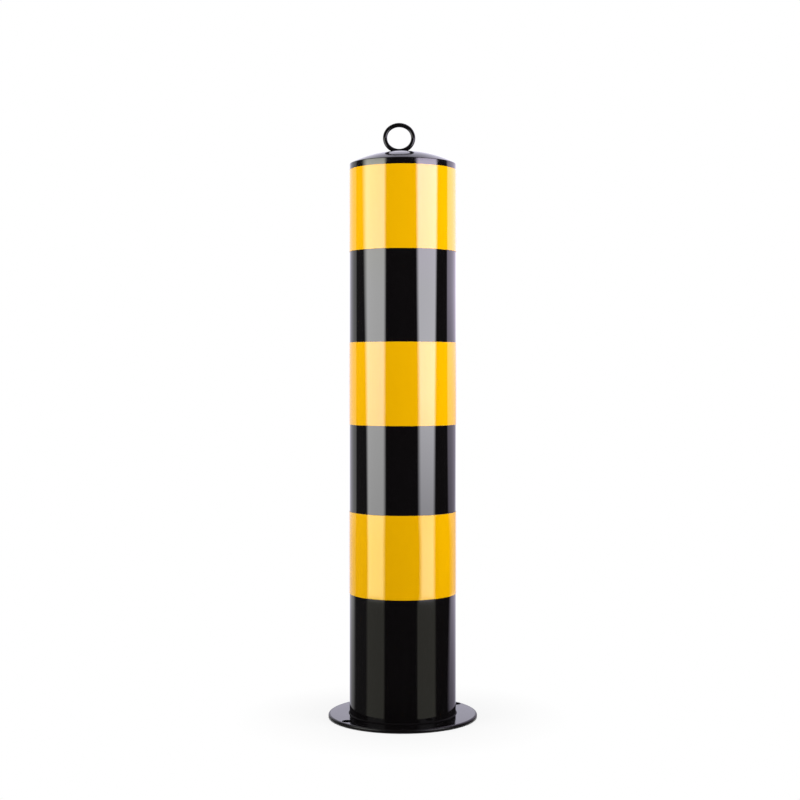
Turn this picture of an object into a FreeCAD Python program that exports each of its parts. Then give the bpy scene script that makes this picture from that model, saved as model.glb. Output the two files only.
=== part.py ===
"""Surface-mounted steel guard post with a lifting ring and yellow reflective bands.

The floor is z = 0, the post stands along +Z on the centre of its flange, and the ring faces -Y.
All sizes are in millimetres.
"""
import FreeCAD
import Part
import math
import os

# Post tube: welded steel tube, slipped into the flange and set back from its underside
POST_DIAMETER = 114.3
POST_WALL = 2.0
POST_SETBACK = 2.0
SHOULDER_HEIGHT = 594.7

# Base flange: round plate with a bore for the tube and a circle of anchor holes between two lands
FLANGE_THICKNESS = 4.0
FLANGE_EDGE_RADIUS = 2.0
FLANGE_UNDER_BEVEL = 0.5
FLANGE_SLIP = 0.25
BOLT_HOLE = 11.0
BOLT_COUNT = 4
BOLT_TURN_DEG = 35.6
HOLE_INNER_LAND = 8.85
HOLE_OUTER_LAND = 3.0

# Weld metal at the foot, on top of the flange and under the tube's end
BASE_WELD_LEG = 1.2
FOOT_WELD_CLEARANCE = 0.4

# Domed cap: pressed from sheet with a crisp edge, butted on the tube, the seam ground flush
CAP_WALL = 2.0
CAP_RIM = 5.5
CAP_RISE = 13.6
CAP_EDGE_RADIUS = 0.8
CAP_CORNER_RADIUS = 0.5
SEAM_DEPTH = 1.0

# Lifting ring: round bar bent to a slightly oval ring, its foot coped to the crown and welded there
RING_BAR = 4.7
RING_WIDTH = 35.0
RING_HEIGHT = 32.6
RING_SINK = 1.4
RING_OFFSET = 3.9
RING_WELD_LEG = 1.7
RING_WELD_END = 1.2
RING_WELD_HEIGHT = 2.2

# Reflective film: strips wrapped round the tube, each lapped over its own start at the back
BAND_HEIGHT = 88.0
BAND_TOP_MARGIN = 6.7
BAND_FOOT_MARGIN = 129.1
MIDDLE_BAND_DROP = 2.0
FILM_THICKNESS = 0.4
FILM_GLUE = 0.05
FILM_LAP = 15.0

POST_RADIUS = POST_DIAMETER / 2
POST_BORE_RADIUS = POST_RADIUS - POST_WALL
FLANGE_BORE_RADIUS = POST_RADIUS + FLANGE_SLIP
BOLT_CIRCLE_RADIUS = POST_RADIUS + HOLE_INNER_LAND + BOLT_HOLE / 2
FLANGE_RADIUS = BOLT_CIRCLE_RADIUS + BOLT_HOLE / 2 + HOLE_OUTER_LAND

# Dome: a sphere through the shoulder's corner and the crown
DOME_RADIUS = (POST_RADIUS ** 2 + CAP_RISE ** 2) / (2 * CAP_RISE)
CROWN_HEIGHT = SHOULDER_HEIGHT + CAP_RISE
DOME_CENTRE = CROWN_HEIGHT - DOME_RADIUS
JOINT_HEIGHT = SHOULDER_HEIGHT - CAP_RIM

# Ring: an oval of four tangent arcs, two for the sides and two for the top and the foot
RING_HALF_WIDTH = (RING_WIDTH - RING_BAR) / 2
RING_HALF_HEIGHT = (RING_HEIGHT - RING_BAR) / 2
RING_SIDE_RADIUS = 2 * RING_HALF_HEIGHT ** 2 / (RING_HALF_WIDTH + RING_HALF_HEIGHT)
RING_SIDE_SHIFT = RING_HALF_WIDTH - RING_SIDE_RADIUS
RING_FOOT_RADIUS = (
    (RING_SIDE_SHIFT ** 2 + RING_HALF_HEIGHT ** 2 - RING_SIDE_RADIUS ** 2)
    / (2 * (RING_HALF_HEIGHT - RING_SIDE_RADIUS))
)
RING_FOOT_SHIFT = RING_FOOT_RADIUS - RING_HALF_HEIGHT

# Seat of the ring on the dome, a little to one side of the axis
RING_SEAT = DOME_CENTRE + math.sqrt(DOME_RADIUS ** 2 - RING_OFFSET ** 2)
RING_CENTRE_Z = RING_SEAT - RING_SINK + RING_HEIGHT / 2

UP = FreeCAD.Vector(0, 0, 1)
ORIGIN = FreeCAD.Vector(0, 0, 0)
FULL_TURN = 360.0
BACK_DEG = 90.0


def point(r, z):
    """A point of a section, in the XZ plane."""
    return FreeCAD.Vector(r, 0, z)


def polar(r, z, radius, angle):
    """A point at an angle, in radians from the horizontal, on a circle of a section."""
    return point(r + radius * math.cos(angle), z + radius * math.sin(angle))


def line(start, end):
    return Part.LineSegment(start, end).toShape()


def arc(start, middle, end):
    return Part.Arc(start, middle, end).toShape()


def outline(points):
    """Straight edges round a closed section."""
    return [line(a, b) for a, b in zip(points, points[1:] + points[:1])]


def turned(edges):
    """The solid that a closed section makes when it is turned about the post's axis."""
    section = Part.Face(Part.Wire(edges))
    return section.revolve(ORIGIN, UP, FULL_TURN)


def base_flange():
    """Plate with a rounded upper rim, a bevel under it, the tube's bore and the anchor holes."""
    edge = FLANGE_EDGE_RADIUS
    bevel = FLANGE_UNDER_BEVEL
    rim = FLANGE_RADIUS
    top = FLANGE_THICKNESS
    bore = FLANGE_BORE_RADIUS
    plate = turned([
        line(point(bore, 0), point(rim - bevel, 0)),
        line(point(rim - bevel, 0), point(rim, bevel)),
        line(point(rim, bevel), point(rim, top - edge)),
        arc(point(rim, top - edge), polar(rim - edge, top - edge, edge, math.pi / 4), point(rim - edge, top)),
        line(point(rim - edge, top), point(bore, top)),
        line(point(bore, top), point(bore, 0)),
    ])
    for index in range(BOLT_COUNT):
        angle = math.radians(BOLT_TURN_DEG) + index * 2 * math.pi / BOLT_COUNT
        centre = FreeCAD.Vector(math.cos(angle), math.sin(angle), 0) * BOLT_CIRCLE_RADIUS
        plate = plate.cut(Part.makeCylinder(BOLT_HOLE / 2, FLANGE_THICKNESS, centre, UP))
    return plate


def post_tube():
    """Tube from its set-back foot to the joint with the cap, bevelled there for the seam."""
    return turned(outline([
        point(POST_BORE_RADIUS, POST_SETBACK),
        point(POST_RADIUS, POST_SETBACK),
        point(POST_RADIUS, JOINT_HEIGHT - SEAM_DEPTH),
        point(POST_RADIUS - SEAM_DEPTH, JOINT_HEIGHT),
        point(POST_BORE_RADIUS, JOINT_HEIGHT),
    ]))


def base_weld():
    """Small fillet weld that seals the tube to the top of the flange."""
    return turned(outline([
        point(POST_RADIUS, FLANGE_THICKNESS),
        point(POST_RADIUS + BASE_WELD_LEG, FLANGE_THICKNESS),
        point(POST_RADIUS, FLANGE_THICKNESS + BASE_WELD_LEG),
    ]))


def foot_weld():
    """Structural weld in the recess under the tube's end, clear of the floor."""
    return turned(outline([
        point(POST_BORE_RADIUS, POST_SETBACK),
        point(FLANGE_BORE_RADIUS, FOOT_WELD_CLEARANCE),
        point(FLANGE_BORE_RADIUS, POST_SETBACK),
    ]))


def cap_face(rim_foot, rim, dome, bend):
    """One face of the cap: up its straight rim, round the bend and over half the dome to the axis.

    The bend is tangent to the rim and to the dome, from inside.
    """
    bend_r = rim - bend
    bend_z = DOME_CENTRE + math.sqrt((dome - bend) ** 2 - bend_r ** 2)
    bend_angle = math.atan2(bend_z - DOME_CENTRE, bend_r)
    rim_end = point(rim, bend_z)
    tangent = polar(0, DOME_CENTRE, dome, bend_angle)
    bend_middle = polar(bend_r, bend_z, bend, bend_angle / 2)
    dome_middle = polar(0, DOME_CENTRE, dome, (bend_angle + math.pi / 2) / 2)
    return [
        line(point(rim, rim_foot), rim_end),
        arc(rim_end, bend_middle, tangent),
        arc(tangent, dome_middle, point(0, DOME_CENTRE + dome)),
    ]


def top_cap():
    """Pressed dome with a short straight rim, bevelled at the rim's edge for the seam."""
    inner_radius = POST_RADIUS - CAP_WALL
    root_radius = POST_RADIUS - SEAM_DEPTH
    seam_top = JOINT_HEIGHT + SEAM_DEPTH
    return turned([
        line(point(inner_radius, JOINT_HEIGHT), point(root_radius, JOINT_HEIGHT)),
        line(point(root_radius, JOINT_HEIGHT), point(POST_RADIUS, seam_top)),
        *cap_face(seam_top, POST_RADIUS, DOME_RADIUS, CAP_EDGE_RADIUS),
        line(point(0, CROWN_HEIGHT), point(0, CROWN_HEIGHT - CAP_WALL)),
        *cap_face(JOINT_HEIGHT, inner_radius, DOME_RADIUS - CAP_WALL, CAP_CORNER_RADIUS),
    ])


def cap_weld():
    """Weld that fills the bevels between tube and cap, ground flush with both."""
    return turned(outline([
        point(POST_RADIUS - SEAM_DEPTH, JOINT_HEIGHT),
        point(POST_RADIUS, JOINT_HEIGHT - SEAM_DEPTH),
        point(POST_RADIUS, JOINT_HEIGHT + SEAM_DEPTH),
    ]))


def crown_cutter():
    """The ball whose top is the outside of the dome."""
    return Part.makeSphere(DOME_RADIUS, point(0, DOME_CENTRE))


def ring_path():
    """Centreline of the ring, from its lower right corner round to the foot."""
    middle = -RING_OFFSET
    right = middle + RING_SIDE_SHIFT
    left = middle - RING_SIDE_SHIFT
    foot_centre = RING_CENTRE_Z + RING_FOOT_SHIFT
    top_centre = RING_CENTRE_Z - RING_FOOT_SHIFT
    turn = math.atan2(abs(RING_FOOT_SHIFT), abs(RING_SIDE_SHIFT))

    def side(centre_r, angle):
        return polar(centre_r, RING_CENTRE_Z, RING_SIDE_RADIUS, angle)

    lower_right = side(right, -turn)
    upper_right = side(right, turn)
    upper_left = side(left, math.pi - turn)
    lower_left = side(left, math.pi + turn)
    top = point(middle, top_centre + RING_FOOT_RADIUS)
    foot = point(middle, foot_centre - RING_FOOT_RADIUS)
    return [
        arc(lower_right, side(right, 0), upper_right),
        arc(upper_right, top, upper_left),
        arc(upper_left, side(left, math.pi), lower_left),
        arc(lower_left, foot, lower_right),
    ]


def bent_ring():
    """The bar along the whole oval, before its foot is coped."""
    path = Part.Wire(ring_path())
    first = path.Edges[0]
    start = first.valueAt(first.FirstParameter)
    bar = Part.Wire(Part.makeCircle(RING_BAR / 2, start, first.tangentAt(first.FirstParameter)))
    return path.makePipeShell([bar], True, True)


def lifting_ring():
    """Oval ring whose foot is coped to sit on the crown."""
    return bent_ring().cut(crown_cutter())


def coped_half_length():
    """Half the length of the ring's coped foot, where the outside of its lower arc crosses the dome."""
    outside = RING_FOOT_RADIUS + RING_BAR / 2
    span = DOME_RADIUS + outside - RING_SINK
    depth = (span ** 2 + outside ** 2 - DOME_RADIUS ** 2) / (2 * span)
    return math.sqrt(outside ** 2 - depth ** 2)


def ring_weld():
    """Bead round the ring's foot: a spindle along the bar, less the crown below and the bar through it.

    On the crown the bead stands out past the sides and the ends of the coped foot.
    Its axis lies below the crown.
    """
    half_length = coped_half_length() + RING_WELD_END
    half_width = RING_BAR / 2 + RING_WELD_LEG
    girth = (half_width ** 2 + RING_WELD_HEIGHT ** 2) / (2 * RING_WELD_HEIGHT)
    sweep = (half_length ** 2 + RING_WELD_HEIGHT ** 2) / (2 * RING_WELD_HEIGHT)
    reach = math.sqrt(2 * sweep * girth - girth ** 2)
    axis_z = RING_SEAT + RING_WELD_HEIGHT - girth
    left_tip = point(-RING_OFFSET - reach, axis_z)
    right_tip = point(-RING_OFFSET + reach, axis_z)
    crest = point(-RING_OFFSET, axis_z + girth)
    section = Part.Face(Part.Wire([arc(left_tip, crest, right_tip), line(right_tip, left_tip)]))
    spindle = section.revolve(left_tip, right_tip - left_tip, FULL_TURN)
    return spindle.cut(crown_cutter()).cut(bent_ring())


def reflective_band(top):
    """One strip of film round the tube, with its lap at the back."""
    inner = POST_RADIUS + FILM_GLUE
    outer = inner + FILM_THICKNESS
    bottom = top - BAND_HEIGHT
    wrap = turned(outline([point(inner, bottom), point(outer, bottom), point(outer, top), point(inner, top)]))
    lap_outer = outer + FILM_THICKNESS
    lap_deg = math.degrees(FILM_LAP / outer)
    section = Part.Face(Part.Wire(outline([
        point(outer, bottom), point(lap_outer, bottom), point(lap_outer, top), point(outer, top),
    ])))
    section.rotate(ORIGIN, UP, BACK_DEG - lap_deg / 2)
    lap = section.revolve(ORIGIN, UP, lap_deg)
    return wrap.fuse(lap).removeSplitter()


def build():
    """Every piece by name. The films are spread evenly, the middle one as applied, a little low."""
    upper_top = SHOULDER_HEIGHT - BAND_TOP_MARGIN
    lower_top = FLANGE_THICKNESS + BAND_FOOT_MARGIN + BAND_HEIGHT
    middle_top = (upper_top + lower_top) / 2 - MIDDLE_BAND_DROP
    return {
        "base_flange": base_flange(),
        "post_tube": post_tube(),
        "base_weld": base_weld(),
        "foot_weld": foot_weld(),
        "top_cap": top_cap(),
        "cap_weld": cap_weld(),
        "lifting_ring": lifting_ring(),
        "ring_weld": ring_weld(),
        "upper_reflective_band": reflective_band(upper_top),
        "middle_reflective_band": reflective_band(middle_top),
        "lower_reflective_band": reflective_band(lower_top),
    }


os.makedirs("parts", exist_ok=True)
for name, shape in build().items():
    shape.exportStep(os.path.join("parts", name + ".step"))
    print(name, "solids", len(shape.Solids), "valid", shape.isValid(), "volume", round(shape.Volume, 2))
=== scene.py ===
"""Surface-mounted steel guard post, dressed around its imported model.

A gloss black tube stands on a round base plate, with a domed cap, a lifting ring and three yellow film
bands, and is shown in a plain white studio.
"""

import math

import bmesh
import bpy
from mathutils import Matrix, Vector


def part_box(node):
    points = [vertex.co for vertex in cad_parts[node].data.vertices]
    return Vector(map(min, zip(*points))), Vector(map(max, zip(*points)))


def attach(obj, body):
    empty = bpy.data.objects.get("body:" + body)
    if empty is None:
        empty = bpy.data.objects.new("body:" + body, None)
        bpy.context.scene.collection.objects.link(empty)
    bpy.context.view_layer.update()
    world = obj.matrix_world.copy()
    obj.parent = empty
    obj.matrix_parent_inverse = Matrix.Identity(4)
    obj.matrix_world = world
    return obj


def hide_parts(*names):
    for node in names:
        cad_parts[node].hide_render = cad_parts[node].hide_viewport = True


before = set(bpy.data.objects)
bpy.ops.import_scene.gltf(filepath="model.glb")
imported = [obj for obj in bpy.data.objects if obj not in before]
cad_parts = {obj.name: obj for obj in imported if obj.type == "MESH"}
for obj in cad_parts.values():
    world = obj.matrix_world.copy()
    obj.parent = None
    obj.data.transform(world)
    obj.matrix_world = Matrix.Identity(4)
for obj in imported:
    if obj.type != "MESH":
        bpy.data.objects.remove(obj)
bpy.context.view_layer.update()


# Post: a welded steel tube with thin walls, cut square at both ends and let into the base plate.
# It is powder coated gloss black after welding. Little powder reaches the bore, which stays dull.

MM = 0.001
FACETS = 240
tube_low, tube_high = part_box("post_tube")
post_radius = tube_high.x
post_wall = 2.0 * MM
post_foot = tube_low.z
post_joint = tube_high.z
seam_depth = 1.0 * MM
edge_break = 0.25 * MM
coat_black = (0.0038, 0.0033, 0.0036, 1.0)
coat_cloudy = (0.0049, 0.0042, 0.0046, 1.0)
coat_cloud_size = 36.0 * MM
coat_roughness = 0.025
coat_haze = 0.03
coat_gloss = 1.0
cloud_detail = 4.0
cloud_sharpness = 0.6
peel_size = 3.0 * MM
peel_height = 0.003 * MM
peel_detail = 1.0
peel_sharpness = 0.4
bore_steel = (0.060, 0.056, 0.053, 1.0)
bore_scale = (0.022, 0.018, 0.016, 1.0)
bore_roughness = 0.45
bore_metal = 0.7
bore_finish = 1
scale_size = 16.0 * MM
scale_detail = 6.0
scale_sharpness = 0.65
scale_roughness = 0.3
scale_metal_loss = 0.5
grain_size = 1.1 * MM
grain_height = 0.008 * MM
grain_detail = 2.0


class Wire:
    """An output of a node. Adding, subtracting, multiplying or dividing wires adds Math nodes."""

    def __init__(self, tree, socket=None):
        self.tree = tree
        self.socket = socket

    def node(self, kind, settings=None, sockets=None, output=0):
        """Adds a node, applies its settings first, and then sets or links its sockets by name or place."""
        made = self.tree.nodes.new("ShaderNode" + kind)
        for name, value in (settings or {}).items():
            if name == "stops":
                self.set_stops(made.color_ramp.elements, value)
            else:
                setattr(made, name, value)
        for key, value in (sockets or {}).items():
            found = made.inputs[key] if isinstance(key, int) else self.find(made.inputs, key)
            if isinstance(value, Wire):
                self.tree.links.new(value.socket, found)
            else:
                found.default_value = value
        if not made.outputs:
            return None
        chosen = made.outputs[output] if isinstance(output, int) else self.find(made.outputs, output)
        return Wire(self.tree, chosen)

    @staticmethod
    def set_stops(elements, stops):
        """Gives a colour ramp its stops, as (place, colour) in rising order."""
        while len(elements) < len(stops):
            elements.new(1.0)
        for element, (place, colour) in zip(elements, stops):
            element.position = place
            element.color = colour

    @staticmethod
    def find(sockets, key):
        """A socket by its identifier, which is unique, or else by its name."""
        for socket in sockets:
            if socket.identifier == key:
                return socket
        return sockets[key]

    def beside(self, output):
        """Another output of the same node."""
        return Wire(self.tree, self.find(self.socket.node.outputs, output))

    def math(self, operation, first, second=0.0):
        return self.node("Math", {"operation": operation}, {0: first, 1: second})

    def __add__(self, other):
        return self.math("ADD", self, other)

    def __radd__(self, other):
        return self.math("ADD", other, self)

    def __sub__(self, other):
        return self.math("SUBTRACT", self, other)

    def __rsub__(self, other):
        return self.math("SUBTRACT", other, self)

    def __mul__(self, other):
        return self.math("MULTIPLY", self, other)

    def __rmul__(self, other):
        return self.math("MULTIPLY", other, self)

    def __truediv__(self, other):
        return self.math("DIVIDE", self, other)

    def __rtruediv__(self, other):
        return self.math("DIVIDE", other, self)


def new_finish(name):
    """An empty material and a wire to add its nodes from."""
    finish = bpy.data.materials.new(name)
    finish.use_nodes = True
    finish.node_tree.nodes.clear()
    return finish, Wire(finish.node_tree)


def blend(wire, share, low_colour, high_colour):
    """A colour that goes from one to the other with a share from 0 to 1."""
    return wire.node("Mix", {"data_type": "RGBA"},
                     {"Factor_Float": share, "A_Color": low_colour, "B_Color": high_colour}, "Result_Color")


def noise(wire, place, size, detail, sharpness=0.5):
    """Noise with patches of about this size, broken up by this many finer layers."""
    return wire.node("TexNoise", {}, {
        "Vector": place,
        "Scale": 1 / size,
        "Detail": detail,
        "Roughness": sharpness,
    })


def black_coat(name, roughness, gloss):
    """Powder coat: close to black, with the faint orange peel and cloudiness of a baked coat."""
    finish, wire = new_finish(name)
    place = wire.node("TexCoord", output="Object")
    peel = noise(wire, place, peel_size, peel_detail, peel_sharpness)
    cloud = noise(wire, place, coat_cloud_size, cloud_detail, cloud_sharpness)
    relief = wire.node("Bump", {}, {"Distance": peel_height, "Height": peel})
    shader = wire.node("BsdfPrincipled", {}, {
        "Base Color": blend(wire, cloud, coat_black, coat_cloudy),
        "Roughness": roughness + coat_haze * cloud,
        "Specular IOR Level": gloss,
        "Normal": relief,
    })
    wire.node("OutputMaterial", {}, {"Surface": shader})
    return finish


def dull_bore():
    """Bare rolled steel inside the tube: grey, with the mottled brown-black of mill scale."""
    finish, wire = new_finish("dull_bore_steel")
    place = wire.node("TexCoord", output="Object")
    scale = noise(wire, place, scale_size, scale_detail, scale_sharpness)
    grain = noise(wire, place, grain_size, grain_detail)
    relief = wire.node("Bump", {}, {"Distance": grain_height, "Height": grain})
    shader = wire.node("BsdfPrincipled", {}, {
        "Base Color": blend(wire, scale, bore_steel, bore_scale),
        "Roughness": bore_roughness + scale_roughness * scale,
        "Metallic": bore_metal - scale_metal_loss * scale,
        "Normal": relief,
    })
    wire.node("OutputMaterial", {}, {"Surface": shader})
    return finish


def even_turn(count):
    """Angles spread evenly round a full turn."""
    return [2 * math.pi * step / count for step in range(count)]


def turn(mesh, section, closed=True, angles=None):
    """Turns a section about the post's axis, and returns its rings of vertices.

    The section is a function that gives the (radius, height) points at an angle.
    """
    columns = []
    for angle in angles or even_turn(FACETS):
        across, along = math.cos(angle), math.sin(angle)
        columns.append([mesh.verts.new((r * across, r * along, z)) for r, z in section(angle)])
    count = len(columns[0])
    for column, following in zip(columns, columns[1:] + columns[:1]):
        for index in range(count if closed else count - 1):
            after = (index + 1) % count
            mesh.faces.new((column[index], following[index], following[after], column[after]))
    return [[column[index] for column in columns] for index in range(count)]


def make_piece(name, mesh, finishes, crease_deg=35.0):
    """The object of a bmesh, shaded smooth but for its creases."""
    bmesh.ops.recalc_face_normals(mesh, faces=mesh.faces)
    data = bpy.data.meshes.new(name)
    mesh.to_mesh(data)
    mesh.free()
    for finish in finishes:
        data.materials.append(finish)
    data.shade_smooth()
    data.set_sharp_from_angle(angle=math.radians(crease_deg))
    made = bpy.data.objects.new(name, data)
    bpy.context.scene.collection.objects.link(made)
    return made


black = black_coat("gloss_black_coat", coat_roughness, coat_gloss)
bore_radius = post_radius - post_wall
post_section = [
    (bore_radius, post_foot),
    (post_radius - edge_break, post_foot),
    (post_radius, post_foot + edge_break),
    (post_radius, post_joint - seam_depth),
    (post_radius - seam_depth, post_joint),
    (bore_radius, post_joint),
]
post_mesh = bmesh.new()
turn(post_mesh, lambda angle: post_section)
for face in post_mesh.faces:
    centre = face.calc_center_median()
    if math.hypot(centre.x, centre.y) < bore_radius + edge_break:
        face.material_index = bore_finish
post = make_piece("post_tube_coated", post_mesh, [black, dull_bore()])
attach(post, "root")
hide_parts("post_tube")


# Base plate: a round steel disc, cut from plate with a bore for the tube and four anchor holes near its
# rim, which is rounded over on top. It is coated with the post, and the powder is thinner and duller on
# the rim and in the holes.

plate_low, plate_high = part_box("base_flange")
plate_radius = min(plate_high.x, plate_high.y, -plate_low.x, -plate_low.y)
plate_top = plate_high.z
plate_edge = 2.0 * MM
plate_bevel = 0.5 * MM
plate_slip = 0.25 * MM
plate_bore = post_radius + plate_slip
hole_radius = 5.5 * MM
hole_edge = 0.35 * MM
hole_inner_land = 8.85 * MM
hole_circle = post_radius + hole_inner_land + hole_radius
hole_turn_deg = 35.6
hole_count = 4
hole_facets = 64
rim_steps = 12
plate_roughness = 0.12
plate_gloss = 1.0
edge_roughness = 0.25
edge_gloss = 0.22
edge_finish = 1
hole_roughness = 0.45
hole_gloss = 0.03
hole_finish = 2


def arc(centre_r, centre_z, radius, start_deg, end_deg, steps):
    """Points along an arc of a section, angles measured up from the horizontal."""
    angles = [math.radians(start_deg + (end_deg - start_deg) * step / steps) for step in range(steps + 1)]
    return [(centre_r + radius * math.cos(a), centre_z + radius * math.sin(a)) for a in angles]


def ring_edges(mesh, ring):
    """The edges round one ring of vertices."""
    return [mesh.edges.get((a, b)) for a, b in zip(ring, ring[1:] + ring[:1])]


rim_section = [
    (plate_radius - plate_bevel, 0.0),
    (plate_radius, plate_bevel),
    *arc(plate_radius - plate_edge, plate_top - plate_edge, plate_edge, 0.0, 90.0, rim_steps),
]
bore_section = [(plate_bore, 0.0), (plate_bore, plate_top)]
hole_section = [
    (hole_radius + hole_edge, 0.0),
    (hole_radius, hole_edge),
    (hole_radius, plate_top - hole_edge),
    (hole_radius + hole_edge, plate_top),
]
plate_mesh = bmesh.new()
walls = [turn(plate_mesh, lambda angle: rim_section, False)]
for face in plate_mesh.faces:
    face.material_index = edge_finish
walls.append(turn(plate_mesh, lambda angle: bore_section, False))
for index in range(hole_count):
    bearing = math.radians(hole_turn_deg) + 2 * math.pi * index / hole_count
    faces_before = len(plate_mesh.faces)
    hole = turn(plate_mesh, lambda angle: hole_section, False, even_turn(hole_facets))
    for face in list(plate_mesh.faces)[faces_before:]:
        face.material_index = hole_finish
    shift = Vector((hole_circle * math.cos(bearing), hole_circle * math.sin(bearing), 0.0))
    for ring in hole:
        bmesh.ops.translate(plate_mesh, vec=shift, verts=ring)
    walls.append(hole)
for end in (0, -1):
    outlines = [edge for wall in walls for edge in ring_edges(plate_mesh, wall[end])]
    bmesh.ops.triangle_fill(plate_mesh, edges=outlines, use_beauty=True)
black_plate = black_coat("soft_gloss_black_plate", plate_roughness, plate_gloss)
black_edge = black_coat("satin_black_edges", edge_roughness, edge_gloss)
black_hole = black_coat("dull_black_holes", hole_roughness, hole_gloss)
plate = make_piece("base_plate_coated", plate_mesh, [black_plate, black_edge, black_hole])
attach(plate, "root")
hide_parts("base_flange")


# Foot welds: a thin sealing bead on top of the plate and a structural bead in the recess under the tube.
# Both are run round by a welding machine, so their ripples are fine and even, and they are coated over.

bead_low, bead_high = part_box("base_weld")
bead_leg = bead_high.z - bead_low.z
bead_throat = 0.36
under_low, under_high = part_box("foot_weld")
under_throat = 0.56
ripple_pitch = 1.6 * MM
ripple_rise = 0.05
ripple_facets = 6
bead_crease_deg = 50.0
bead_roughness = 0.45
bead_gloss = 0.03


def ripple(ripples, angle):
    """Share of a bead's full size at an angle, with this many ripples round the post."""
    return 1 - ripple_rise + ripple_rise * math.cos(ripples * angle)


def sealing_bead(ripples):
    """Section of the upper bead: a slightly hollow fillet between the tube and the plate."""
    def section(angle):
        leg = bead_leg * ripple(ripples, angle)
        return [
            (post_radius, bead_low.z),
            (post_radius + leg, bead_low.z),
            (post_radius + bead_throat * leg, bead_low.z + bead_throat * leg),
            (post_radius, bead_low.z + leg),
        ]
    return section


def recess_bead(ripples):
    """Section of the lower bead: a fillet across the tube's end, clear of the floor."""
    def section(angle):
        drop = (under_high.z - under_low.z) * ripple(ripples, angle)
        return [
            (bore_radius, under_high.z),
            (plate_bore, under_high.z),
            (plate_bore, under_high.z - drop),
            ((bore_radius + plate_bore) / 2, under_high.z - under_throat * drop),
        ]
    return section


black_bead = black_coat("dull_black_welds", bead_roughness, bead_gloss)
for name, node, radius, bead in (
    ("sealing_bead", "base_weld", post_radius, sealing_bead),
    ("recess_bead", "foot_weld", bore_radius, recess_bead),
):
    ripples = round(2 * math.pi * radius / ripple_pitch)
    bead_mesh = bmesh.new()
    turn(bead_mesh, bead(ripples), True, even_turn(ripples * ripple_facets))
    bead_piece = make_piece(name, bead_mesh, [black_bead], bead_crease_deg)
    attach(bead_piece, "root")
    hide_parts(node)


# Domed cap: pressed from sheet with a short straight rim and a crisp edge, butted on the tube and welded
# all round. The seam is ground flush before coating, so only the edge of the dome still shows as a line.

cap_low, cap_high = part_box("top_cap")
seam_low, seam_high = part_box("cap_weld")
cap_wall = 2.0 * MM
cap_rim = 5.5 * MM
cap_edge = 0.8 * MM
cap_corner = 0.5 * MM
crown = cap_high.z
cap_rise = crown - cap_low.z - cap_rim
dome_radius = (post_radius ** 2 + cap_rise ** 2) / (2 * cap_rise)
dome_centre = crown - dome_radius
crown_ring_deg = 89.7
bend_steps = 10
dome_steps = 48
cap_roughness = 0.11


def cap_face(rim, dome, bend):
    """One face of the cap, from its rim round the bend and up the dome to a small ring at the crown."""
    bend_r = rim - bend
    bend_z = dome_centre + math.sqrt((dome - bend) ** 2 - bend_r ** 2)
    bend_deg = math.degrees(math.atan2(bend_z - dome_centre, bend_r))
    return [
        *arc(bend_r, bend_z, bend, 0.0, bend_deg, bend_steps),
        *arc(0.0, dome_centre, dome, bend_deg, crown_ring_deg, dome_steps)[1:],
    ]


cap_section = [
    *reversed(cap_face(post_radius - cap_wall, dome_radius - cap_wall, cap_corner)),
    (post_radius - cap_wall, cap_low.z),
    (post_radius - seam_depth, cap_low.z),
    (post_radius, cap_low.z + seam_depth),
    *cap_face(post_radius, dome_radius, cap_edge),
]
cap_mesh = bmesh.new()
cap_rings = turn(cap_mesh, lambda angle: cap_section, False)
cap_mesh.faces.new(cap_rings[0])
cap_mesh.faces.new(cap_rings[-1])
black_cap = black_coat("gloss_black_cap", cap_roughness, coat_gloss)
cap = make_piece("domed_cap", cap_mesh, [black_cap])
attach(cap, "root")
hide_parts("top_cap")

seam_section = [
    (post_radius - seam_depth, cap_low.z),
    (post_radius, seam_low.z),
    (post_radius, seam_high.z),
]
seam_mesh = bmesh.new()
turn(seam_mesh, lambda angle: seam_section)
seam = make_piece("ground_seam", seam_mesh, [black])
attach(seam, "root")
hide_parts("cap_weld")


# Lifting ring: round bar bent to a slightly oval ring, its ends butted at the foot, where it is coped to
# the crown. A short bead holds it on both sides, and it is coated with the cap.

ring_low, ring_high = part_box("lifting_ring")
bar = ring_high.y - ring_low.y
ring_middle = (ring_low.x + ring_high.x) / 2
ring_half_width = (ring_high.x - ring_low.x - bar) / 2
ring_height = 32.6 * MM
ring_half_height = (ring_height - bar) / 2
ring_z = ring_high.z - ring_height / 2
arc_steps = 40
bar_facets = 32
cope_depth = 0.3 * MM
ring_roughness = 0.15
ring_gloss = 0.42


def ring_line():
    """Points along the ring's centreline, an oval of four tangent arcs."""
    side_radius = 2 * ring_half_height ** 2 / (ring_half_width + ring_half_height)
    side_shift = ring_half_width - side_radius
    foot_radius = (
        (side_shift ** 2 + ring_half_height ** 2 - side_radius ** 2)
        / (2 * (ring_half_height - side_radius))
    )
    foot_shift = foot_radius - ring_half_height
    turn_deg = math.degrees(math.atan2(abs(foot_shift), abs(side_shift)))
    arcs = [
        arc(ring_middle + side_shift, ring_z, side_radius, -turn_deg, turn_deg, arc_steps),
        arc(ring_middle, ring_z - foot_shift, foot_radius, turn_deg, 180 - turn_deg, arc_steps),
        arc(ring_middle - side_shift, ring_z, side_radius, 180 - turn_deg, 180 + turn_deg, arc_steps),
        arc(ring_middle, ring_z + foot_shift, foot_radius, 180 + turn_deg, 360 - turn_deg, arc_steps),
    ]
    return [point for part in arcs for point in part[1:]]


def dome_height(x, y):
    """Height of the dome's outside above a place on the plan."""
    return dome_centre + math.sqrt(dome_radius ** 2 - x * x - y * y)


def join_rings(mesh, rings):
    """Faces between each ring of vertices and the next."""
    for ring, following in zip(rings, rings[1:]):
        for index in range(len(ring)):
            after = (index + 1) % len(ring)
            mesh.faces.new((ring[index], following[index], following[after], ring[after]))


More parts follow.
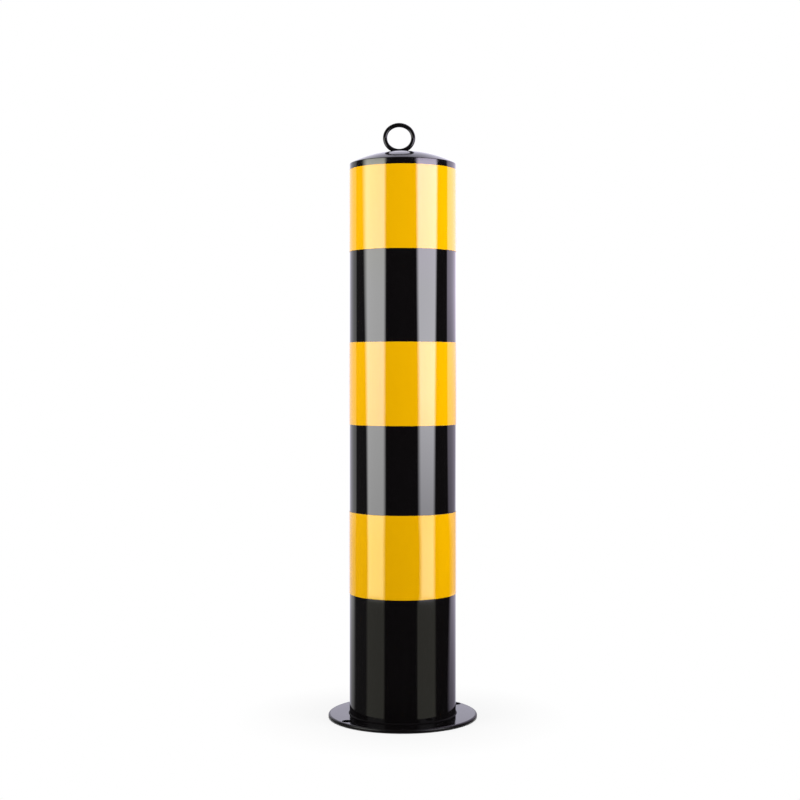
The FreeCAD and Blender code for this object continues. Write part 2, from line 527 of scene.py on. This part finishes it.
line = ring_line()
sideways = Vector((0.0, 1.0, 0.0))
ring_mesh = bmesh.new()
hoops = []
for index, (x, z) in enumerate(line):
    before, after = line[index - 1], line[(index + 1) % len(line)]
    along = Vector((after[0] - before[0], 0.0, after[1] - before[1])).normalized()
    outward = Vector((along.z, 0.0, -along.x))
    hoop = []
    for angle in even_turn(bar_facets):
        offset = outward * math.cos(angle) + sideways * math.sin(angle)
        hoop.append(ring_mesh.verts.new(Vector((x, 0.0, z)) + offset * (bar / 2)))
    hoops.append(hoop)
join_rings(ring_mesh, hoops + hoops[:1])
bmesh.ops.bisect_plane(
    ring_mesh, geom=ring_mesh.verts[:] + ring_mesh.edges[:] + ring_mesh.faces[:], clear_outer=True,
    plane_co=(0.0, 0.0, dome_height(ring_middle, 0.0) - cope_depth), plane_no=(0.0, 0.0, -1.0))
bmesh.ops.holes_fill(ring_mesh, edges=[edge for edge in ring_mesh.edges if edge.is_boundary])
black_ring = black_coat("satin_black_ring", ring_roughness, ring_gloss)
ring = make_piece("lifting_ring_coated", ring_mesh, [black_ring])
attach(ring, "root")
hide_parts("lifting_ring")

ring_bead_low, ring_bead_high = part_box("ring_weld")
ring_bead_length = (ring_bead_high.x - ring_bead_low.x) / 2
ring_bead_width = (ring_bead_high.y - ring_bead_low.y) / 2
ring_bead_rise = ring_bead_high.z - dome_height(ring_middle, 0.0)
ring_bead_pitch = 1.3 * MM
ring_bead_ripple = 0.06
ring_bead_shells = 12
ring_bead_facets = 96
ring_bead_crease_deg = 60.0
ring_bead_mesh = bmesh.new()
shells = []
for level in range(ring_bead_shells):
    share = math.cos(math.pi / 2 * level / ring_bead_shells)
    shell = []
    for angle in even_turn(ring_bead_facets):
        x = ring_middle + ring_bead_length * share * math.cos(angle)
        y = ring_bead_width * share * math.sin(angle)
        dip = ring_bead_ripple * (1 - math.cos(2 * math.pi * x / ring_bead_pitch))
        rise = ring_bead_rise * (1 - share ** 2) * (1 - dip)
        shell.append(ring_bead_mesh.verts.new((x, y, dome_height(x, y) + rise)))
    shells.append(shell)
join_rings(ring_bead_mesh, shells)
ring_bead_mesh.faces.new(shells[0])
ring_bead_mesh.faces.new(shells[-1])
ring_bead = make_piece("ring_bead", ring_bead_mesh, [black_bead], ring_bead_crease_deg)
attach(ring_bead, "root")
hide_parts("ring_weld")


# Yellow bands: strips of glossy reflective film wrapped round the coated tube by hand, each lapped over
# its own start at the back. Fine glass beads lie under the film's clear top. On the lowest band the
# reflections are painted yellower and a little stronger: a painted reflection tint on the same film.

film_glue = 0.05 * MM
film_thickness = 0.4 * MM
film_lap = 15.0 * MM
film_ramp = 2.5 * MM
film_ramp_steps = 8
film_step = 0.05 * MM
film_edge = 0.1 * MM
film_inner = post_radius + film_glue
film_outer = film_inner + film_thickness
film_yellow = (0.870, 0.452, 0.0006, 1.0)
film_deep = (0.835, 0.424, 0.0004, 1.0)
film_cloud_size = 45.0 * MM
film_cloud_share = 0.6
glass_bead_size = 0.4 * MM
glass_bead_share = 0.5
film_roughness = 0.025
film_haze = 0.02
film_gloss = 0.95
film_wave_size = 14.0 * MM
film_wave_height = 0.004 * MM
film_wave_detail = 1.0
clear_top = (1.0, 1.0, 1.0, 1.0)
clear_top_index = 1.5
# Painted reflection: a yellow tint and a higher index that make the lowest band's reflections warmer and
# stronger.
painted_low_reflection_tint = (1.0, 1.0, 0.6, 1.0)
painted_low_reflection_index = 1.575
back_deg = 90.0


def yellow_film(name, top_tint, top_index):
    """Glossy film: a strong yellow, clouded by fine glass beads, under a clear and almost flat top."""
    finish, wire = new_finish(name)
    place = wire.node("TexCoord", output="Object")
    beads = wire.node("TexVoronoi", {}, {"Vector": place, "Scale": 1 / glass_bead_size}, "Distance")
    cloud = noise(wire, place, film_cloud_size, cloud_detail, cloud_sharpness)
    waves = noise(wire, place, film_wave_size, film_wave_detail)
    depth = film_cloud_share * cloud + glass_bead_share * beads
    relief = wire.node("Bump", {}, {"Distance": film_wave_height, "Height": waves})
    shader = wire.node("BsdfPrincipled", {}, {
        "Base Color": blend(wire, depth, film_yellow, film_deep),
        "Roughness": film_roughness + film_haze * cloud,
        "Specular IOR Level": film_gloss,
        "Specular Tint": top_tint,
        "IOR": top_index,
        "Normal": relief,
    })
    wire.node("OutputMaterial", {}, {"Surface": shader})
    return finish


lap_turn = film_lap / film_outer
lap_start = math.radians(back_deg) - lap_turn / 2
lap_end = lap_start + lap_turn
lap_climb = film_ramp / film_outer


def film_angles():
    """Even angles round the post, and closer ones where the lap climbs and where it ends."""
    climbing = [lap_start + lap_climb * step / film_ramp_steps for step in range(film_ramp_steps + 1)]
    ending = [lap_end - film_step / film_outer, lap_end]
    return sorted(even_turn(FACETS) + climbing + ending)


def film_section(bottom, top):
    """Section of a film, thicker where it passes over its own start."""
    def section(angle):
        share = min(max((angle - lap_start) / lap_climb, 0.0), 1.0) if angle < lap_end else 0.0
        outer = film_outer + film_thickness * share * share * (3 - 2 * share)
        return [
            (film_inner, bottom),
            (outer - film_edge, bottom),
            (outer, bottom + film_edge),
            (outer, top - film_edge),
            (outer - film_edge, top),
            (film_inner, top),
        ]
    return section


yellow = yellow_film("yellow_reflective_film", clear_top, clear_top_index)
# The lowest band's copy of the film has its reflections painted yellower and stronger.
yellow_with_painted_reflection = yellow_film("yellow_reflective_film_low", painted_low_reflection_tint, painted_low_reflection_index)
for level, film_finish in (("lower", yellow_with_painted_reflection), ("middle", yellow), ("upper", yellow)):
    film_low, film_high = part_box(level + "_reflective_band")
    film_mesh = bmesh.new()
    turn(film_mesh, film_section(film_low.z, film_high.z), True, film_angles())
    film = make_piece(level + "_film", film_mesh, [film_finish])
    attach(film, "root")
    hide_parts(level + "_reflective_band")


# Studio: a white room with a pale floor. Tall soft panels stand to the left and right, and dark cards
# between them give the gloss its stripes. The panels and cards show only in reflections, and soft lamps
# give the light.

tent_radius = 0.85
panel_top = 0.76
tent_top = 1.75
card_inner = 0.082
card_height = 0.4 * MM
ceiling_gap = 1.0 * MM
panel_peak = 5.2
bearing_passes = 3
full_turn_deg = 360.0
echo_depth = 1.5
echo_loss = 0.95
neutral = (1.0, 1.0, 1.0)
lavender = (1.0, 0.97, 1.15)
cool = (1.0, 0.99, 1.06)
violet = (1.0, 0.9, 1.14)


def lit(level, tint=neutral):
    """The colour of a field of light, from its level and the tint of its white."""
    red, green, blue = tint
    return (level * red, level * green, level * blue, 1.0)


dark = lit(0.0)
left_gap = lit(0.006)
left_foot_light = (0.63, 0.63, 0.57, 1.0)
right_foot_light = (0.6, 0.6, 0.69, 1.0)
left_top_light = (0.82, 0.82, 0.72, 1.0)
floor_light = (0.049, 0.049, 0.041, 1.0)


def fields(edges, behind, back_left, left, right, back_right):
    """Fields of light round the studio, from behind the post by the left to the front and on by the right.

    Dark cards stand between the panels and the open back, and in front. Each edge is the pair of bearings
    between which one field goes over to the next.
    """
    return edges, [
        lit(behind, lavender), lit(back_left), left_gap, left, dark,
        right, dark, lit(back_right, violet), lit(behind, lavender),
    ]


def turn_share(bearing_deg):
    """A bearing as a share of a full turn that starts behind the post."""
    return bearing_deg / full_turn_deg + 0.5


def reflector(name, profile, upright, levels):
    """A surface seen only in reflections, lit in fields.

    The fields change up an upright surface, or out along a flat one. A bearing is that of the ray which the
    post's gloss, seen from the front, throws to the place. After one reflection little light is left.
    """
    finish, wire = new_finish(name)
    place = wire.node("TexCoord", output="Object")
    x = wire.node("SeparateXYZ", {}, {"Vector": place}, "X")
    y = x.beside("Y")
    radius = wire.math("SQRT", x * x + y * y)
    straight = wire.math("ARCTAN2", x, 0 - y)
    thrown = straight
    for _ in range(bearing_passes):
        thrown = straight + wire.math("SINE", thrown / 2) * (post_radius / radius)
    around = thrown / (2 * math.pi) + 0.5
    along = x.beside("Z") if upright else radius
    first, last = levels[0][0], levels[-1][0]
    reached = (along - first) / (last - first)
    places = [(level - first) / (last - first) for level, _ in levels]

    def by_level(colours):
        """A ramp through one colour for each level."""
        return wire.node("ValToRGB", {"stops": list(zip(places, colours))}, {"Fac": reached})

    lights = [by_level(colours) for colours in zip(*[field_lights for _, (_, field_lights) in levels])]
    borders = zip(*[field_edges for _, (field_edges, _) in levels])
    colour = lights[0]
    for light, border in zip(lights[1:], borders):
        ends = by_level([(turn_share(start), turn_share(end), 0.0, 1.0) for start, end in border])
        start = wire.node("SeparateColor", {}, {"Color": ends}, "Red")
        passed = wire.node("Clamp", {}, {"Value": (around - start) / (start.beside("Green") - start)})
        colour = blend(wire, passed, colour, light)
    echo = wire.math("GREATER_THAN", wire.node("LightPath", output="Glossy Depth"), echo_depth)
    shown = blend(wire, echo_loss * echo, colour, dark)
    glowing = wire.node("Emission", {}, {"Color": shown, "Strength": panel_peak})
    wire.node("OutputMaterial", {}, {"Surface": glowing})
    finish.cycles.emission_sampling = "NONE"
    mesh = bmesh.new()
    turn(mesh, lambda angle: profile, False)
    made = make_piece(name, mesh, [finish])
    made.visible_camera = False
    made.visible_diffuse = False
    made.visible_shadow = False
    made.visible_transmission = False


# Bearings are in degrees from straight in front of the post, and negative to the left.
far_left = (-165.0, -128.0)
far_right = (150.0, 165.0)
left_back = [far_left, (-121.5, -118.0)]
right_back = [(110.0, 113.5), (168.0, 178.0)]
foot_edges = [
    far_left, (-125.0, -119.5), (-83.1, -76.6), (-44.0, -37.0),
    (34.7, 43.7), (67.4, 74.9), (118.0, 140.0), far_right,
]
low_edges = [
    far_left, (-122.5, -118.5), (-84.5, -78.3), (-43.0, -36.0),
    (32.0, 40.5), (67.7, 75.0), (113.5, 119.5), far_right,
]
middle_edges = [*left_back, (-87.6, -79.6), (-42.4, -36.1), (31.2, 38.7), (70.2, 76.5), *right_back]
high_edges = [*left_back, (-93.3, -81.8), (-41.4, -35.7), (29.1, 35.6), (73.2, 78.9), *right_back]
upper_edges = [*left_back, (-98.4, -83.4), (-41.0, -35.0), (27.0, 34.0), (75.8, 81.8), *right_back]
above_edges = [(-175.0, -160.0), *upper_edges[1:-1], (160.0, 175.0)]
near_edges = [
    (-165.0, -140.0), (-135.0, -123.0), (-87.0, -80.0), (-42.5, -38.0),
    (29.5, 33.5), (71.5, 77.5), (110.7, 122.7), far_right,
]
far_edges = [*near_edges[:-2], (118.7, 130.7), far_right]
panel_foot = fields(
    foot_edges, behind=0.185, back_left=0.075, left=left_foot_light, right=right_foot_light, back_right=0.1)
panel_low = fields(
    low_edges, behind=0.185, back_left=0.12, left=lit(0.65), right=lit(0.57, cool), back_right=0.1)
panel_middle = fields(
    middle_edges, behind=0.19, back_left=0.115, left=lit(0.78), right=lit(0.97, cool), back_right=0.15)
panel_high = fields(
    high_edges, behind=0.21, back_left=0.11, left=lit(0.82), right=lit(0.97, cool), back_right=0.255)
panel_upper = fields(
    upper_edges, behind=0.23, back_left=0.11, left=left_top_light, right=lit(1.07, violet), back_right=0.26)
floor_near = fields(
    near_edges, behind=0.12, back_left=0.07, left=floor_light, right=floor_light, back_right=0.07)
floor_far = fields(
    far_edges, behind=0.17, back_left=0.14, left=floor_light, right=floor_light, back_right=0.17)
above_panels = fields(above_edges, behind=0.25, back_left=0.24, left=dark, right=dark, back_right=0.3)
upper_back = fields(above_edges, behind=0.21, back_left=0.25, left=dark, right=dark, back_right=0.45)
top_back = fields(above_edges, behind=0.07, back_left=0.1, left=lit(0.06), right=lit(0.12), back_right=0.2)
ceiling_light = lit(0.02)
ceiling_middle = (above_edges, [ceiling_light] * len(top_back[1]))
skirt_top = 0.009
foot_start = 0.0145
foot_top = 0.1
low_start = 0.147
middle_height = 0.34
high_height = 0.5
upper_height = 0.7
upper_back_height = 0.92
reflector("panel_wall", [(tent_radius, card_height), (tent_radius, panel_top)], True, [
    (0.0, floor_far), (skirt_top, floor_far), (foot_start, panel_foot), (foot_top, panel_foot),
    (low_start, panel_low), (middle_height, panel_middle), (high_height, panel_high),
    (upper_height, panel_upper),
])
reflector("floor_card", [(card_inner, card_height), (tent_radius, card_height)], False,
          [(card_inner, floor_near), (tent_radius, floor_far)])
reflector("upper_wall", [(tent_radius, panel_top), (tent_radius, tent_top)], True,
          [(panel_top, above_panels), (upper_back_height, upper_back), (tent_top, top_back)])
reflector("ceiling_card", [(tent_radius, tent_top), (ceiling_gap, tent_top)], False,
          [(ceiling_gap, ceiling_middle), (tent_radius, top_back)])

room_white = lit(1.0)
ambient_level = 0.25


def seen_directly(wire):
    """1 for rays from the camera, from gloss and through glass, and 0 for the rays that carry light."""
    camera_ray = wire.node("LightPath", output="Is Camera Ray")
    mirrored = wire.math("MAXIMUM", camera_ray, camera_ray.beside("Is Glossy Ray"))
    return wire.math("MAXIMUM", mirrored, camera_ray.beside("Is Transmission Ray"))


world = bpy.data.worlds.new("white_room")
bpy.context.scene.world = world
world.use_nodes = True
world.node_tree.nodes.clear()
room = Wire(world.node_tree)
room_level = ambient_level + (1 - ambient_level) * seen_directly(room)
sky = room.node("Background", {}, {"Color": room_white, "Strength": room_level})
room.node("OutputWorld", {}, {"Surface": sky})

floor_reach = 4.0
floor_middle = 1.0 * MM
floor_drop = 0.1 * MM
floor_fade_start = 0.085
floor_fade_end = 0.18
floor_white = (0.76, 0.76, 0.77, 1.0)
floor_share = 0.14
floor_finish, wire = new_finish("pale_floor")
place = wire.node("TexCoord", output="Object")
away = wire.node("VectorMath", {"operation": "LENGTH"}, {0: place}, "Value")
fade = wire.node("Clamp", {}, {"Value": (away - floor_fade_start) / (floor_fade_end - floor_fade_start)})
matt = wire.node("BsdfDiffuse", {}, {"Color": floor_white})
white = wire.node("Emission", {}, {"Color": room_white})
beyond_plate = wire.math("GREATER_THAN", away, plate_radius)
glow = (1 - floor_share * (1 - fade)) * beyond_plate
surface = wire.node("MixShader", {}, {"Fac": glow * seen_directly(wire), 1: matt, 2: white})
wire.node("OutputMaterial", {}, {"Surface": surface})
floor_section = [(floor_reach, -floor_drop), (floor_middle, -floor_drop)]
floor_mesh = bmesh.new()
floor_rings = turn(floor_mesh, lambda angle: floor_section, False)
floor_mesh.faces.new(floor_rings[-1])
floor = make_piece("floor", floor_mesh, [floor_finish])

lamp_aim = 0.6


def soft_lamp(name, bearing_deg, distance, height, width, tall, spread_deg, level):
    """A soft box turned to the post's upper end.

    Its power gives about this level on a face that is turned to it.
    """
    lamp = bpy.data.lights.new(name, "AREA")
    lamp.shape = "RECTANGLE"
    lamp.size = width
    lamp.size_y = tall
    lamp.spread = math.radians(spread_deg)
    bearing = math.radians(bearing_deg)
    place = Vector((distance * math.sin(bearing), -distance * math.cos(bearing), height))
    target = Vector((0.0, 0.0, lamp_aim))
    beam = math.radians(spread_deg) / 2
    lamp.energy = level * math.pi ** 2 * (target - place).length_squared * (1 - beam / math.tan(beam))
    made = bpy.data.objects.new(name, lamp)
    made.location = place
    made.rotation_mode = "QUATERNION"
    made.rotation_quaternion = (target - place).to_track_quat("-Z", "Y")
    made.visible_glossy = False
    made.visible_camera = False
    bpy.context.scene.collection.objects.link(made)


lamp_bearing_deg = 67.5
lamp_spread_deg = 75.0
lamp_distance = 1.5
lamp_height = 0.75
lamp_width = 0.8
lamp_tall = 1.0
left_lamp_level = 1.59
right_lamp_level = 1.87
back_lamp_bearing_deg = 180.0
back_lamp_width = 1.2
back_lamp_level = 1.25
top_lamp_bearing_deg = 0.0
top_lamp_distance = 0.082
top_lamp_height = 2.2
top_lamp_size = 1.4
top_lamp_spread_deg = 180.0
top_lamp_level = 0.15
for name, bearing_deg, lamp_level in (
    ("left_soft_box", -lamp_bearing_deg, left_lamp_level),
    ("right_soft_box", lamp_bearing_deg, right_lamp_level),
):
    soft_lamp(name, bearing_deg, lamp_distance, lamp_height, lamp_width, lamp_tall,
              lamp_spread_deg, lamp_level)
soft_lamp("back_soft_box", back_lamp_bearing_deg, lamp_distance, lamp_height, back_lamp_width, lamp_tall,
          lamp_spread_deg, back_lamp_level)
soft_lamp("top_soft_box", top_lamp_bearing_deg, top_lamp_distance, top_lamp_height, top_lamp_size,
          top_lamp_size, top_lamp_spread_deg, top_lamp_level)


# Camera: level, at about the middle of the post and straight in front of the ring.
# The frame is shifted a little so that the post stands where the photograph has it.

camera_distance = 1.613
camera_height = 0.373
camera_lens = 67.3
camera_sensor = 36.0
frame_pixels = 800
horizon_row = 370.0
axis_column = 402.75
lens = bpy.data.cameras.new("studio_camera")
lens.sensor_width = camera_sensor
lens.lens = camera_lens
lens.shift_x = (frame_pixels / 2 - axis_column) / frame_pixels
lens.shift_y = (horizon_row - frame_pixels / 2) / frame_pixels
camera = bpy.data.objects.new("studio_camera", lens)
camera.location = (0.0, -camera_distance, camera_height)
camera.rotation_euler = (math.pi / 2, 0.0, 0.0)
bpy.context.scene.collection.objects.link(camera)
bpy.context.scene.camera = camera
bpy.context.scene.view_settings.view_transform = "Standard"
